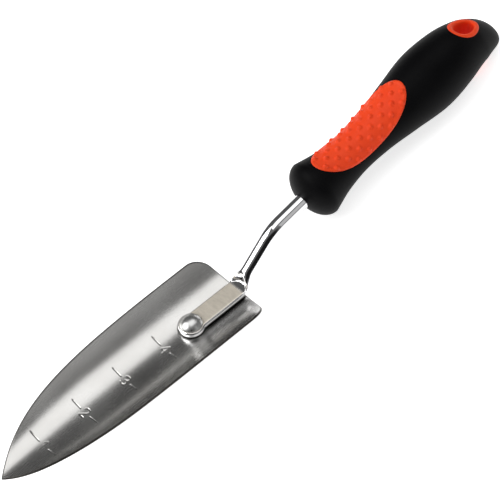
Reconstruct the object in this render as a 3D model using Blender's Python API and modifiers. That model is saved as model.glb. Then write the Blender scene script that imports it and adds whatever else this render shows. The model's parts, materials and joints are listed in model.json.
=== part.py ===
"""Hand trowel: a pressed steel scoop riveted to a bent steel shank, with a two-shot moulded grip.

The blade, shank and rivet are drawn in the tool frame, in millimetres: X runs from the tip of the
blade towards the handle, Z up from the floor of the blade's channel, and Y = 0 is the plane of
symmetry. The grip is drawn in the grip frame: x along the grip from its front end, z up. Empties
tilt both frames so that the trowel lies with its open side up, on the heel of the blade and the
belly of the grip.
"""
import math

import bmesh
import bpy
from mathutils import Matrix, Vector

MM = 0.001
GAP = 0.3                     # clearance between touching pieces

# Blade: a flat blank rolled into a channel, tighter towards the tip.
BLADE_CORNER_X = 146.3        # heel edge at the two corners
HEEL_BULGE = 5.0              # how much further the middle of the heel edge reaches
CORNER_RADIUS = 8.0
CHANNEL_RADIUS = 30.2         # of the concave face
TIP_RADIUS = 14.3             # the same at the tip
TIGHTENING_X = 72.0           # where the channel starts to tighten
SHEET = 1.2
BLANK_HALF_WIDTH = 27.1       # measured round the channel, at its widest
BLANK_RUN = 270.0             # length and power of the curve that the long edges follow
BLANK_POWER = 9.0
BLADE_ROWS = 20
BLADE_CORNER_ROWS = 5
BLADE_COLUMNS = 18

# Shank: one bar, flattened at the blade and again where the grip holds it.
ROD_RADIUS = 4.1
EYE_X = 119.2                 # centre of the round eye at the end of the tang
EYE_RADIUS = 6.7
TANG_HALF_WIDTH = 5.5
TANG_TOP = 3.9
TANG_HALF_HEIGHT = 1.8        # its underside is level with the rod's
LOWER_BEND = (152.4, 7.0)     # X of the corner of the centre line, radius
UPPER_BEND = (175.9, 25.2, 22.0)   # X and Z of the corner, radius
SCOOP_X = 148.5               # where the flat top starts to rise into the rod
SCOOP_RUN = 5.0
SHOULDER_X = 152.5            # where the sides start to narrow to the rod
SHOULDER_RUN = 7.0
LOCK_HALF_WIDTH = 6.0         # flattened end inside the grip
LOCK_HALF_HEIGHT = 2.6
LOCK_LENGTH = 18.0
LOCK_RUN = 8.0                # over which the rod flattens into it
SHANK_SEGMENTS = 24

# Rivet through the eye and the blade.
RIVET_RADIUS = 2.5
HEAD_RADIUS = 5.9
HEAD_HEIGHT = 3.2
TAIL_RADIUS = 4.2
TAIL_HEIGHT = 1.3

# Grip: sections are upright ovals, given as (x, radius) from the front collar to the tail.
GRIP_ORIGIN = (196.0, 29.5)   # front end of the grip in the tool frame
GRIP_TILT = math.radians(11.5)
GRIP_LENGTH = 140.0
GRIP_STATIONS = [(10.0, 15.8), (22.0, 12.8), (36.0, 11.4), (52.0, 12.2),
                 (70.0, 14.8), (90.0, 17.6), (108.0, 16.4), (124.0, 13.0)]
GRIP_OVAL = 1.03              # height and width are the radius times and over this
TAIL_TAPER = 5.5              # how quickly the end closes
DROOP = 12.5                  # the tail curves down by this much
DROOP_START = 103.0
GRIP_SEGMENTS = 32
WALL = 3.2                    # of the soft sleeve over the hard core
CORE_FRONT = 6.0
CORE_BACK = 104.0
SOCKET_DEPTH = 62.0           # how far the shank reaches into the grip

# Thumb pad: an oval patch on top of the grip.
PAD_MIDDLE = 44.4
PAD_HALF_LENGTH = 31.2
PAD_HALF_WRAP = 14.4          # half width measured round the grip
PAD_POWER = 2.3
PAD_PROUD = 0.5
PAD_SUNK = 1.5

# Hang hole: a rounded teardrop through the tail, lined with a bush.
HOLE_MIDDLE = 121.0
BUSH_OUTER = (8.2, 7.2)       # half length and half width
BUSH_INNER = (5.7, 4.3)
TEARDROP = 0.16               # how much wider the front end is than the rear end
BUSH_PROUD = 0.4
HOLE_SEGMENTS = 28
THROUGH = 26.0                # half height of the plugs that cut right through the tail


def start_scene():
    for old in list(bpy.data.objects):
        bpy.data.objects.remove(old, do_unlink=True)
    groups = {}
    for name in ("hand_trowel", "cutters"):
        groups[name] = bpy.data.collections.new(name)
        bpy.context.scene.collection.children.link(groups[name])
    return groups


def material(name, colour, roughness, metallic=0.0):
    result = bpy.data.materials.new(name)
    result.use_nodes = True
    shader = result.node_tree.nodes["Principled BSDF"]
    shader.inputs["Base Color"].default_value = (*colour, 1.0)
    shader.inputs["Roughness"].default_value = roughness
    shader.inputs["Metallic"].default_value = metallic
    return result


def add_object(name, shape, group, parent):
    """Turn a bmesh drawn in millimetres into an object under one of the frames."""
    bmesh.ops.scale(shape, vec=(MM, MM, MM), verts=shape.verts)
    bmesh.ops.recalc_face_normals(shape, faces=shape.faces)
    mesh = bpy.data.meshes.new(name)
    shape.to_mesh(mesh)
    shape.free()
    item = bpy.data.objects.new(name, mesh)
    group.objects.link(item)
    item.parent = parent
    return item


def finish(item, look):
    item.data.materials.append(look)
    item.data.shade_smooth()
    item.data.set_sharp_from_angle(angle=math.radians(40))


def boolean(item, cutter, operation="DIFFERENCE"):
    cutter.hide_render = True
    cutter.display_type = "WIRE"
    step = item.modifiers.new(cutter.name, "BOOLEAN")
    step.object = cutter
    step.operation = operation
    step.solver = "EXACT"


def loft(rings):
    """Skin rings of equal length; a ring of one point closes an end to a point."""
    shape = bmesh.new()
    rows = [[shape.verts.new(point) for point in ring] for ring in rings]
    for row, following in zip(rows, rows[1:]):
        count = max(len(row), len(following))
        for k in range(count):
            n = (k + 1) % count
            if len(row) == 1:
                shape.faces.new((row[0], following[n], following[k]))
            elif len(following) == 1:
                shape.faces.new((row[k], row[n], following[0]))
            else:
                shape.faces.new((row[k], row[n], following[n], following[k]))
    for row in (rows[0], rows[-1]):
        if len(row) > 1:
            shape.faces.new(row)
    return shape


def smooth(t):
    t = min(max(t, 0.0), 1.0)
    return t * t * (3 - 2 * t)


def through(stations, x):
    """A smooth curve through (x, y) stations: cubic spans with the neighbours' slopes."""
    last = len(stations) - 1

    def slope(k):
        (xa, ya), (xb, yb) = stations[max(k - 1, 0)], stations[min(k + 1, last)]
        return (yb - ya) / (xb - xa)

    k = 0
    while k < last - 1 and x > stations[k + 1][0]:
        k += 1
    (x0, y0), (x1, y1) = stations[k], stations[k + 1]
    span = x1 - x0
    t = (x - x0) / span
    return (y0 * (1 + 2 * t) * (1 - t) ** 2 + slope(k) * span * t * (1 - t) ** 2
            + y1 * t * t * (3 - 2 * t) + slope(k + 1) * span * t * t * (t - 1))


# ---------------------------------------------------------------- blade

def blank_half_width(x):
    """Half width of the flat blank at x, with its rounded heel corners."""
    edge = BLANK_HALF_WIDTH * (1 - (1 - x / BLANK_RUN) ** BLANK_POWER)
    into_corner = x - (BLADE_CORNER_X - CORNER_RADIUS)
    if into_corner > 0:
        edge -= CORNER_RADIUS - math.sqrt(max(CORNER_RADIUS ** 2 - into_corner ** 2, 0.0))
    return edge


def heel_bulge(x, along_arc):
    """How far a point of the blank moves back, so that the heel edge is a shallow arc."""
    return (HEEL_BULGE * smooth(2 * x / BLADE_CORNER_X - 1)
            * (1 - (along_arc / BLANK_HALF_WIDTH) ** 2))


def channel_radius(x):
    tightening = max(1 - x / TIGHTENING_X, 0.0) ** 2
    return CHANNEL_RADIUS + (TIP_RADIUS - CHANNEL_RADIUS) * tightening


def channel_point(x, along_arc):
    """A point of the flat blank, rolled onto the channel's concave face."""
    radius = channel_radius(x)
    angle = along_arc / radius
    return Vector((x, radius * math.sin(angle), radius * (1 - math.cos(angle))))


def blade_rows():
    straight = BLADE_CORNER_X - CORNER_RADIUS
    rows = [straight * (k / BLADE_ROWS) ** 1.5 for k in range(1, BLADE_ROWS + 1)]
    for k in range(1, BLADE_CORNER_ROWS + 1):
        rows.append(straight + CORNER_RADIUS * math.sin(math.pi / 2 * k / BLADE_CORNER_ROWS))
    return rows


def make_blade(frame, groups, look):
    shape = bmesh.new()
    tip = shape.verts.new(channel_point(0, 0))
    previous = None
    for x in blade_rows():
        half = blank_half_width(x)
        row = []
        for j in range(BLADE_COLUMNS + 1):
            across = 2 * j / BLADE_COLUMNS - 1
            row.append(shape.verts.new(channel_point(x + heel_bulge(x, across * half),
                                                     across * half)))
        for j in range(BLADE_COLUMNS):
            if previous is None:
                shape.faces.new((tip, row[j], row[j + 1]))
            else:
                shape.faces.new((previous[j], row[j], row[j + 1], previous[j + 1]))
        previous = row
    blade = add_object("blade", shape, groups["hand_trowel"], frame)
    if blade.data.polygons[0].normal.z < 0:
        blade.data.flip_normals()
    sheet = blade.modifiers.new("sheet", "SOLIDIFY")
    sheet.thickness = SHEET * MM
    sheet.offset = -1
    sheet.use_even_offset = True
    hole = drill("blade_rivet_hole", RIVET_RADIUS + GAP, groups, frame)
    boolean(blade, hole)
    finish(blade, look)


def drill(name, radius, groups, frame):
    shape = bmesh.new()
    bmesh.ops.create_cone(shape, cap_ends=True, segments=20, radius1=radius, radius2=radius,
                          depth=20, matrix=Matrix.Translation((EYE_X, 0, 0)))
    return add_object(name, shape, groups["cutters"], frame)


# ---------------------------------------------------------------- shank

def in_tool_frame(x, z):
    """A point of the grip's frame, given in the tool frame's X and Z."""
    return (GRIP_ORIGIN[0] + x * math.cos(GRIP_TILT) - z * math.sin(GRIP_TILT),
            GRIP_ORIGIN[1] + x * math.sin(GRIP_TILT) + z * math.cos(GRIP_TILT))


def shank_route(end_depth):
    """Stations (X, Z, slope, length so far) along the bar's centre line."""
    floor = TANG_TOP - 2 * TANG_HALF_HEIGHT + ROD_RADIUS
    corners = [(EYE_X, floor), (LOWER_BEND[0], floor), UPPER_BEND[:2],
               in_tool_frame(end_depth, 0)]
    radii = [0, LOWER_BEND[1], UPPER_BEND[2], 0]
    slopes = [math.atan2(b[1] - a[1], b[0] - a[0]) for a, b in zip(corners, corners[1:])]
    points = [(*corners[0], slopes[0])]
    for k in (1, 2):
        turn = slopes[k] - slopes[k - 1]
        reach = abs(radii[k] * math.tan(turn / 2))
        start = (corners[k][0] - reach * math.cos(slopes[k - 1]),
                 corners[k][1] - reach * math.sin(slopes[k - 1]))
        steps = max(3, round(abs(turn) / math.radians(7)))
        for i in range(steps + 1):
            slope = slopes[k - 1] + turn * i / steps
            side = math.copysign(radii[k], turn)
            points.append((start[0] + side * (math.sin(slope) - math.sin(slopes[k - 1])),
                           start[1] - side * (math.cos(slope) - math.cos(slopes[k - 1])),
                           slope))
    points.append((*corners[3], slopes[2]))
    return with_lengths(fill_straights(points))


def fill_straights(points):
    """Extra stations on the straight runs, where the section changes along them."""
    filled = [points[0]]
    for before, after in zip(points, points[1:]):
        run = math.dist(before[:2], after[:2])
        steps = max(1, round(run / 4))
        for i in range(1, steps + 1):
            t = i / steps
            slope = after[2] if i == steps else before[2]
            filled.append((before[0] + t * (after[0] - before[0]),
                           before[1] + t * (after[1] - before[1]), slope))
    return filled


def with_lengths(points):
    total = 0.0
    result = [(*points[0], total)]
    for before, after in zip(points, points[1:]):
        total += math.dist(before[:2], after[:2])
        result.append((*after, total))
    return result


def shank_section(length, whole):
    """Half width, half height and centre's drop of the bar, at a distance from the eye."""
    narrowing = smooth((length - (SHOULDER_X - EYE_X)) / SHOULDER_RUN)
    thickening = smooth((length - (SCOOP_X - EYE_X)) / SCOOP_RUN)
    width = TANG_HALF_WIDTH + (ROD_RADIUS - TANG_HALF_WIDTH) * narrowing
    height = TANG_HALF_HEIGHT + (ROD_RADIUS - TANG_HALF_HEIGHT) * thickening
    drop = ROD_RADIUS - height
    locking = smooth((length - whole + LOCK_LENGTH) / LOCK_RUN)
    width += (LOCK_HALF_WIDTH - ROD_RADIUS) * locking
    height += (LOCK_HALF_HEIGHT - ROD_RADIUS) * locking
    return width, height, drop


def shank_rings(end_depth, grow=0.0):
    route = shank_route(end_depth)
    whole = shank_route(SOCKET_DEPTH)[-1][3]
    rings = []
    for x, z, slope, length in route:
        width, height, drop = shank_section(length, whole)
        width += grow
        height += grow
        ring = []
        for k in range(SHANK_SEGMENTS):
            angle = 2 * math.pi * (k + 0.5) / SHANK_SEGMENTS
            up = max(-height, min(height, max(width, height) * math.sin(angle))) - drop
            ring.append(Vector((x - up * math.sin(slope), width * math.cos(angle),
                                z + up * math.cos(slope))))
        rings.append(ring)
    return rings


def make_shank(frame, groups, look):
    shank = add_object("shank", loft(shank_rings(SOCKET_DEPTH)), groups["hand_trowel"], frame)
    shape = bmesh.new()
    bmesh.ops.create_cone(shape, cap_ends=True, segments=36, radius1=EYE_RADIUS,
                          radius2=EYE_RADIUS, depth=2 * TANG_HALF_HEIGHT,
                          matrix=Matrix.Translation((EYE_X, 0, TANG_TOP - TANG_HALF_HEIGHT)))
    eye = add_object("eye_disc", shape, groups["cutters"], frame)
    boolean(shank, eye, "UNION")
    boolean(shank, make_seat(frame, groups))
    boolean(shank, drill("shank_rivet_hole", RIVET_RADIUS + GAP, groups, frame))
    finish(shank, look)


def make_seat(frame, groups):
    """The space that the blade takes under the tang, so that the tang fits the channel."""
    half_arc = EYE_RADIUS + 3
    depth = 6
    steps = 12
    top = [channel_point(EYE_X, half_arc * (2 * k / steps - 1)) for k in range(steps + 1)]
    section = [Vector((0, p.y, p.z + GAP)) for p in top]
    section += [Vector((0, half_arc, -depth)), Vector((0, -half_arc, -depth))]
    ends = (EYE_X - 2 * EYE_RADIUS, BLADE_CORNER_X + HEEL_BULGE + GAP)
    rings = [[Vector((x, p.y, p.z)) for p in section] for x in ends]
    return add_object("channel_seat", loft(rings), groups["cutters"], frame)


# ---------------------------------------------------------------- rivet

def make_rivet(frame, groups, look):
    """A turned profile, from the top of the head down the outside to the tail."""
    seat = TANG_TOP + GAP
    below = -SHEET - GAP
    ball = (HEAD_RADIUS ** 2 + HEAD_HEIGHT ** 2) / (2 * HEAD_HEIGHT)
    reach = math.asin(HEAD_RADIUS / ball)
    profile = [(0, seat + HEAD_HEIGHT)]
    for k in range(1, 8):
        angle = reach * k / 7
        profile.append((ball * math.sin(angle), seat + HEAD_HEIGHT - ball * (1 - math.cos(angle))))
    profile += [(RIVET_RADIUS, seat), (RIVET_RADIUS, below), (TAIL_RADIUS, below)]
    for k in range(1, 5):
        angle = math.pi / 2 * k / 4
        profile.append((TAIL_RADIUS * math.cos(angle), below - TAIL_HEIGHT * math.sin(angle)))
    shape = bmesh.new()
    points = [shape.verts.new((max(radius, 0.0), 0, z)) for radius, z in profile]
    for upper, lower in zip(points, points[1:]):
        shape.edges.new((upper, lower))
    rivet = add_object("rivet", shape, groups["hand_trowel"], frame)
    rivet.location = (EYE_X * MM, 0, 0)
    turn = rivet.modifiers.new("turn", "SCREW")
    turn.steps = 28
    turn.render_steps = 28
    turn.use_merge_vertices = True
    turn.merge_threshold = 0.00001
    finish(rivet, look)


# ---------------------------------------------------------------- grip

def grip_radius(x):
    first_x, first_radius = GRIP_STATIONS[0]
    last_x, last_radius = GRIP_STATIONS[-1]
    if x < first_x:
        return first_radius * math.sqrt(max(1 - (1 - x / first_x) ** 2, 0.0))
    if x > last_x:
        u = (x - last_x) / (GRIP_LENGTH - last_x)
        return (last_radius - TAIL_TAPER * u * (1 - u)) * math.sqrt(max(1 - u * u, 0.0))
    return through(GRIP_STATIONS, x)


def grip_height(x):
    """Height of the section's centre: level, then curving down at the tail."""
    return -DROOP * max(0.0, (x - DROOP_START) / (GRIP_LENGTH - DROOP_START)) ** 3


def grip_rows(front, back, step):
    """Stations from front to back, closer together where the ends round off."""
    first, last = GRIP_STATIONS[0][0], GRIP_STATIONS[-1][0]
    rows = [front]
    for k in range(1, 6):
        x = first * (1 - math.cos(math.pi / 2 * k / 6))
        if front + 0.2 < x < back:
            rows.append(x)
    middle_start, middle_end = max(front, first), min(back, last)
    count = max(1, round((middle_end - middle_start) / step))
    for k in range(count + 1):
        x = middle_start + (middle_end - middle_start) * k / count
        if x > rows[-1] + 0.2:
            rows.append(x)
    if back > last:
        for k in range(1, 7):
            rows.append(last + (back - last) * math.sin(math.pi / 2 * k / 6))
    return rows


def grip_point(x, angle, inset=0.0):
    """A point on the grip's surface; angle 0 is the top and grows towards +Y."""
    radius = max(grip_radius(x) - inset, 0.0)
    return Vector((x, radius / GRIP_OVAL * math.sin(angle),
                   grip_height(x) + radius * GRIP_OVAL * math.cos(angle)))


def grip_ring(x, inset=0.0, segments=GRIP_SEGMENTS):
    if grip_radius(x) - inset < 0.05:
        return [Vector((x, 0, grip_height(x)))]
    return [grip_point(x, 2 * math.pi * k / segments, inset) for k in range(segments)]


def grip_solid(front, back, inset, step=5.0):
    return loft([grip_ring(x, inset) for x in grip_rows(front, back, step)])


def to_grip_frame(point):
    dx, dz = point.x - GRIP_ORIGIN[0], point.z - GRIP_ORIGIN[1]
    return Vector((dx * math.cos(GRIP_TILT) + dz * math.sin(GRIP_TILT), point.y,
                   -dx * math.sin(GRIP_TILT) + dz * math.cos(GRIP_TILT)))


def socket(name, end_depth, front, groups, frame):
    """Room for the shank: its own sections grown by the gap, from a station in front."""
    rings = [[to_grip_frame(p) for p in ring] for ring in shank_rings(end_depth, GAP)]
    rings = [ring for ring in rings if min(p.x for p in ring) > front]
    return add_object(name, loft(rings), groups["cutters"], frame)


def pad_patch(margin, outside, inside):
    """The oval patch as a closed shell between two offsets of the grip's surface."""
    rows, columns = 18, 14
    half_length = PAD_HALF_LENGTH + margin
    half_wrap = PAD_HALF_WRAP + margin
    shape = bmesh.new()
    layers = []
    for inset in (outside, inside):
        layer = []
        for i in range(rows + 1):
            u = -math.cos(math.pi * i / rows)
            x = PAD_MIDDLE + half_length * u
            wrap = half_wrap * math.sqrt(max(1 - abs(u) ** PAD_POWER, 0.0))
            half_angle = wrap / grip_radius(x)
            if i in (0, rows):
                layer.append([shape.verts.new(grip_point(x, 0, inset))])
                continue
            layer.append([shape.verts.new(grip_point(x, half_angle * (2 * j / columns - 1), inset))
                          for j in range(columns + 1)])
        layers.append(layer)
    top, bottom = layers
    for layer in layers:
        for row, following in zip(layer, layer[1:]):
            for j in range(columns):
                corners = [row[min(j, len(row) - 1)], row[min(j + 1, len(row) - 1)],
                           following[min(j + 1, len(following) - 1)],
                           following[min(j, len(following) - 1)]]
                shape.faces.new(list(dict.fromkeys(corners)))
    for side in (0, -1):
        for k in range(rows):
            shape.faces.new((top[k][side], top[k + 1][side],
                             bottom[k + 1][side], bottom[k][side]))
    return shape


def teardrop(size, angle):
    """Outline of the hang hole: an oval that is wider towards the front."""
    along = math.cos(angle)
    return (HOLE_MIDDLE + size[0] * along,
            size[1] * math.sin(angle) * (1 - TEARDROP * along))


def hole_plug(size, half_height):
    """A plug through the tail with the hole's outline; its ends follow the droop."""
    outline = [teardrop(size, 2 * math.pi * k / HOLE_SEGMENTS) for k in range(HOLE_SEGMENTS)]
    return loft([[Vector((x, y, grip_height(x) + level)) for x, y in outline]
                 for level in (-half_height, half_height)])


def make_grip(frame, groups, looks):
    parts, cutters = groups["hand_trowel"], groups["cutters"]
    sleeve = add_object("grip_sleeve", grip_solid(0, GRIP_LENGTH, 0), parts, frame)
    core = add_object("grip_core", grip_solid(CORE_FRONT, CORE_BACK, WALL, 7.0), parts, frame)
    room = add_object("core_room", grip_solid(CORE_FRONT - GAP, CORE_BACK + GAP, WALL - GAP, 7.0),
                      cutters, frame)
    boolean(sleeve, room)
    boolean(sleeve, socket("sleeve_socket", CORE_FRONT + 6, -9, groups, frame))
    boolean(core, socket("core_socket", SOCKET_DEPTH + GAP, -4, groups, frame))
    finish(core, looks["core"])

    pad = add_object("thumb_pad", pad_patch(0, -PAD_PROUD, PAD_SUNK), parts, frame)
    finish(pad, looks["soft"])
    pocket = add_object("pad_pocket", pad_patch(GAP, -3, PAD_SUNK + GAP), cutters, frame)
    boolean(sleeve, pocket)

    bush = add_object("hang_hole_bush", hole_plug(BUSH_OUTER, THROUGH - 1), parts, frame)
    skin = add_object("bush_skin", grip_solid(60, GRIP_LENGTH, -BUSH_PROUD), cutters, frame)
    opening = add_object("bush_opening", hole_plug(BUSH_INNER, THROUGH), cutters, frame)
    boolean(bush, skin, "INTERSECT")
    boolean(bush, opening)
    finish(bush, looks["soft"])
    bore = (BUSH_OUTER[0] + GAP, BUSH_OUTER[1] + GAP)
    boolean(sleeve, add_object("bush_room", hole_plug(bore, THROUGH), cutters, frame))
    finish(sleeve, looks["sleeve"])


# ---------------------------------------------------------------- assembly

def lying_tilt():
    """The slope of the plane that the blade's heel and the grip's belly both touch."""
    heel = (BLADE_CORNER_X + HEEL_BULGE, -SHEET)
    slopes = []
    for x in grip_rows(0, GRIP_LENGTH, 2.0):
        below = in_tool_frame(x, grip_height(x) - grip_radius(x) * GRIP_OVAL)
        slopes.append(math.atan2(below[1] - heel[1], below[0] - heel[0]))
    return min(slopes)


def make_frames(groups):
    """Empties: the trowel as it lies, and the grip's own frame within it."""
    trowel = bpy.data.objects.new("trowel_frame", None)
    grip = bpy.data.objects.new("grip_frame", None)
    for empty in (trowel, grip):
        groups["hand_trowel"].objects.link(empty)
    grip.parent = trowel
    grip.location = (GRIP_ORIGIN[0] * MM, 0, GRIP_ORIGIN[1] * MM)
    grip.rotation_euler = (0, -GRIP_TILT, 0)
    trowel.rotation_euler = (0, lying_tilt(), 0)
    return trowel, grip


def settle(trowel, parts):
    """Put the origin at the bottom centre of the whole trowel's box."""
    bpy.context.view_layer.update()
    depsgraph = bpy.context.evaluated_depsgraph_get()
    corners = []
    for item in parts:
        if item.type == "MESH":
            solid = item.evaluated_get(depsgraph)
            corners += [solid.matrix_world @ vertex.co for vertex in solid.data.vertices]
    low = Vector([min(c[k] for c in corners) for k in range(3)])
    high = Vector([max(c[k] for c in corners) for k in range(3)])
    trowel.location = (-(low.x + high.x) / 2, 0, -low.z)
    bpy.context.view_layer.update()


def main():
    groups = start_scene()
    steel = material("satin_steel", (0.55, 0.55, 0.54), 0.32, 1.0)
    chrome = material("bright_plating", (0.72, 0.73, 0.74), 0.08, 1.0)
    looks = {
        "core": material("hard_core_plastic", (0.03, 0.03, 0.03), 0.5),
        "sleeve": material("black_grip_plastic", (0.008, 0.008, 0.009), 0.38),
        "soft": material("orange_soft_plastic", (0.86, 0.10, 0.03), 0.45),
    }
    trowel, grip = make_frames(groups)
    make_blade(trowel, groups, steel)
    make_shank(trowel, groups, chrome)
    make_rivet(trowel, groups, chrome)
    make_grip(grip, groups, looks)
    settle(trowel, groups["hand_trowel"].objects)


main()
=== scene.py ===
"""Looks of the hand trowel: fine meshes, materials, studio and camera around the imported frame.

Lengths are millimetres in two frames. The tool frame has X from the blade's tip towards the
handle, Z up from the floor of the channel. The grip frame has x along the grip from its front.
Both are found from the record's two mounts, so the fine pieces lie exactly where the CAD has them.
"""
import json
import math

import bmesh
import bpy
import numpy as np
from mathutils import Matrix, Vector


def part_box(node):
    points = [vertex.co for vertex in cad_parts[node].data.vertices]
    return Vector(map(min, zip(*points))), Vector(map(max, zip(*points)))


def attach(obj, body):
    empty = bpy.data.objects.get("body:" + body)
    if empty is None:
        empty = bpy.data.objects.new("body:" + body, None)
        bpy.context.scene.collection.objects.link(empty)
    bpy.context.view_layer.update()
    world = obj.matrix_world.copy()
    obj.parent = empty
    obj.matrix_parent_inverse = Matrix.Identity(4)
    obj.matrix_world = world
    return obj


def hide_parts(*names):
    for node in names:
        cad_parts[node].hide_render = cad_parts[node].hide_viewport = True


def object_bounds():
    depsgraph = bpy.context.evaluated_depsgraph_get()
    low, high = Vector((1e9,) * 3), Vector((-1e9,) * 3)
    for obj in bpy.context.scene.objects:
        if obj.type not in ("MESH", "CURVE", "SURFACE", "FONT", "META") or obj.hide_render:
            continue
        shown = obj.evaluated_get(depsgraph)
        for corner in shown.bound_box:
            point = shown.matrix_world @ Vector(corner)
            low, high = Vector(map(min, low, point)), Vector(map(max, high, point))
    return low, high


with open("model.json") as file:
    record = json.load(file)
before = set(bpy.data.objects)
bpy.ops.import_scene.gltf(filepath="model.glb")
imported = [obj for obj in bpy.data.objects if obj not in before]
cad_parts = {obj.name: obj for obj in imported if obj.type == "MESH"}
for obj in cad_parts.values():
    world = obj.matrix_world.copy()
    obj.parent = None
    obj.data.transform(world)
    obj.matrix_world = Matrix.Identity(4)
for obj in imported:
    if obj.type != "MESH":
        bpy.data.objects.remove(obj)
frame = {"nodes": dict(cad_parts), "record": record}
cad_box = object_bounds()

MM = 0.001
SEAM = 0.05                   # what shows between touching pieces
GAP = 0.3                     # clearance inside, where nothing shows

# Blade: a flat blank rolled into a channel, tighter towards the tip.
BLADE_CORNER_X = 146.3
CORNER_RADIUS = 8.0
HEEL_BULGE = 5.0
BULGE_START = 112.0
CHANNEL_RADIUS = 30.2
TIP_RADIUS = 14.3
TIGHTENING_X = 72.0
SHEET = 1.2
RIM_ROUND = 0.45
RIM_REACH = 1.5               # how far the painted shade of the cut rim goes, in radii of its rounding
RIM_DARK = 0.97               # how dark it is, from 0 to 1
BLANK_HALF_WIDTH = 27.1
BLANK_RUN = 270.0
BLANK_POWER = 9.0

# Depth scale engraved in the channel.
INCH = 25.4
STROKE = 0.36                 # half width of an engraved line
STROKE_REACH = 1.25           # how far its painted shade goes, in half widths
# how dark the painted shade in the engraved strokes is
STROKE_SHADE = 0.7
ENGRAVED = 0.26
DIGIT_HEIGHT = 5.0
TICK = (3.6, 9.2)             # from and to, measured across from the middle
DIGITS = {                    # strokes in a box 0.62 wide and 1 high, drawn upright
    1: [[(0.12, 0.78), (0.31, 1.0), (0.31, 0.0)]],
    2: [[(0.0, 0.8), (0.1, 0.96), (0.31, 1.0), (0.54, 0.92), (0.6, 0.74), (0.5, 0.52),
         (0.0, 0.0), (0.62, 0.0)]],
    3: [[(0.02, 0.9), (0.2, 1.0), (0.46, 0.97), (0.58, 0.78), (0.48, 0.6), (0.24, 0.54)],
        [(0.48, 0.5), (0.62, 0.28), (0.5, 0.06), (0.24, 0.0), (0.0, 0.1)]],
    4: [[(0.46, 0.0), (0.46, 1.0), (0.0, 0.3), (0.62, 0.3)]],
}
DIGIT_WIDTH = 0.62

# Shank.
ROD_RADIUS = 4.1
ROUNDNESS = 0.99              # share of the rod's section that is an arc
EYE_X = 119.2
EYE_RADIUS = 6.7
TANG_HALF_WIDTH = 5.5
TANG_TOP = 3.9
TANG_HALF_HEIGHT = 1.8
TANG_EDGE = 1.0
TANG_FOOT = 2.05              # height of the painted shade on its sides
FOOT_FADE = 0.5
FACE_LEVEL = (0.02, 0.12)     # what still counts as its flat face, and the fade from there
TANG_UNDERCUT = 1.7           # rounding of its lower edge, which stands off the channel
LOWER_BEND = (152.4, 7.0)
UPPER_BEND = (175.9, 25.2, 22.0)
LYING_END = 148.0             # where it starts to lift off the channel
LIFT_RUN = 3.0
CREVICE = 0.9                 # how far the painted shade spreads on the blade beside the tang
CREVICE_SHADE = 0.95
SCOOP_X = 148.5
SCOOP_RUN = 5.0
SCOOP_BOW = 4.5               # how much later the step rises in the middle than at its sides
STEP_FADE = 2.0
DIMPLE = (153.8, 0.0, 7.0)    # middle of the step, darkened with painted shade
DIMPLE_RADIUS = 1.7
DIMPLE_FADE = 0.8
DIMPLE_SHADE = 0.95
SHOULDER_X = 152.5
SHOULDER_RUN = 7.0
SHANK_END = 60.0              # in the grip frame, inside the core
RING_COLUMNS = 36

# Rivet.
RIVET_RADIUS = 2.5
HEAD_RADIUS = 5.9
HEAD_TOP = 7.4
HEAD_RIM = 0.3
HEAD_EDGE = 0.25              # rounding of the head's rim
EDGE_DROP = 0.2
HEAD_UNDERCUT = 0.35
TAIL_RADIUS = 4.2
TAIL_HEIGHT = 1.3
TAIL_POWER = 0.7              # below 1, the tail's side is fuller than a half ball's
TAIL_CHAMFER = 0.2
TAIL_DIMPLE = (0.6, 0.92)     # radius, and its share of the tail's height
DRILL_REACH = 10.0

# Grip: sections are upright ovals, given as (x, radius).
GRIP_LENGTH = 140.0
GRIP_STATIONS = [(10.0, 15.8), (22.0, 12.8), (36.0, 11.4), (52.0, 12.2),
                 (70.0, 14.8), (90.0, 17.6), (108.0, 16.4), (124.0, 13.0)]
GRIP_OVAL = 1.03
TAIL_TAPER = 5.5
DROOP = 12.5
DROOP_START = 103.0
WALL = 3.2
CORE_FRONT = 6.0
CORE_BACK = 104.0
SLEEVE_SEGMENTS = 112

# Thumb pad.
PAD_MIDDLE = 44.4
PAD_HALF_LENGTH = 31.2
PAD_HALF_WRAP = 14.4
PAD_POWER = 2.3
PAD_GRID = (170, 90)
PAD_PROUD = 0.02
PAD_EDGE = 0.6
PAD_SUNK = 1.5
POCKET_GRID = (60, 40)
POCKET_REACH = 3.0            # how far the pocket's cutter stands out of the grip
BUMP_PITCH = 7.8              # along the grip
BUMP_ROW = 3.8                # across it
BUMP_RADIUS = 1.6
BUMP_HEIGHT = 1.15
BUMP_POWER = 1.4              # above 1, the bump's foot runs out flatter
PLAIN_BORDER = 1.9
LIP = 0.28
LIP_PLACE = (1.2, 0.8)        # distance of its crest from the edge, and its spread

# Hang hole.
HOLE_MIDDLE = 121.0
BUSH_OUTER = (8.2, 7.2)
BUSH_INNER = (5.7, 4.3)
TEARDROP = 0.16
BUSH_LIP = [(0.0, -1.2), (0.0, 0.0), (0.03, 0.2), (0.09, 0.32), (0.2, 0.38), (0.4, 0.36),
            (0.58, 0.2), (0.74, -0.12), (0.87, -0.62), (0.96, -1.3), (1.0, -2.2), (1.0, -4.0)]
PLUG_REACH = 26.0

# Hole for the rod in the front of the grip, in the grip frame.
BORE_CLEARANCE = 0.12
BORE_FRONT = -12.0
BORE_OVERLAP = 4.0            # how far it runs into the core's room

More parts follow.
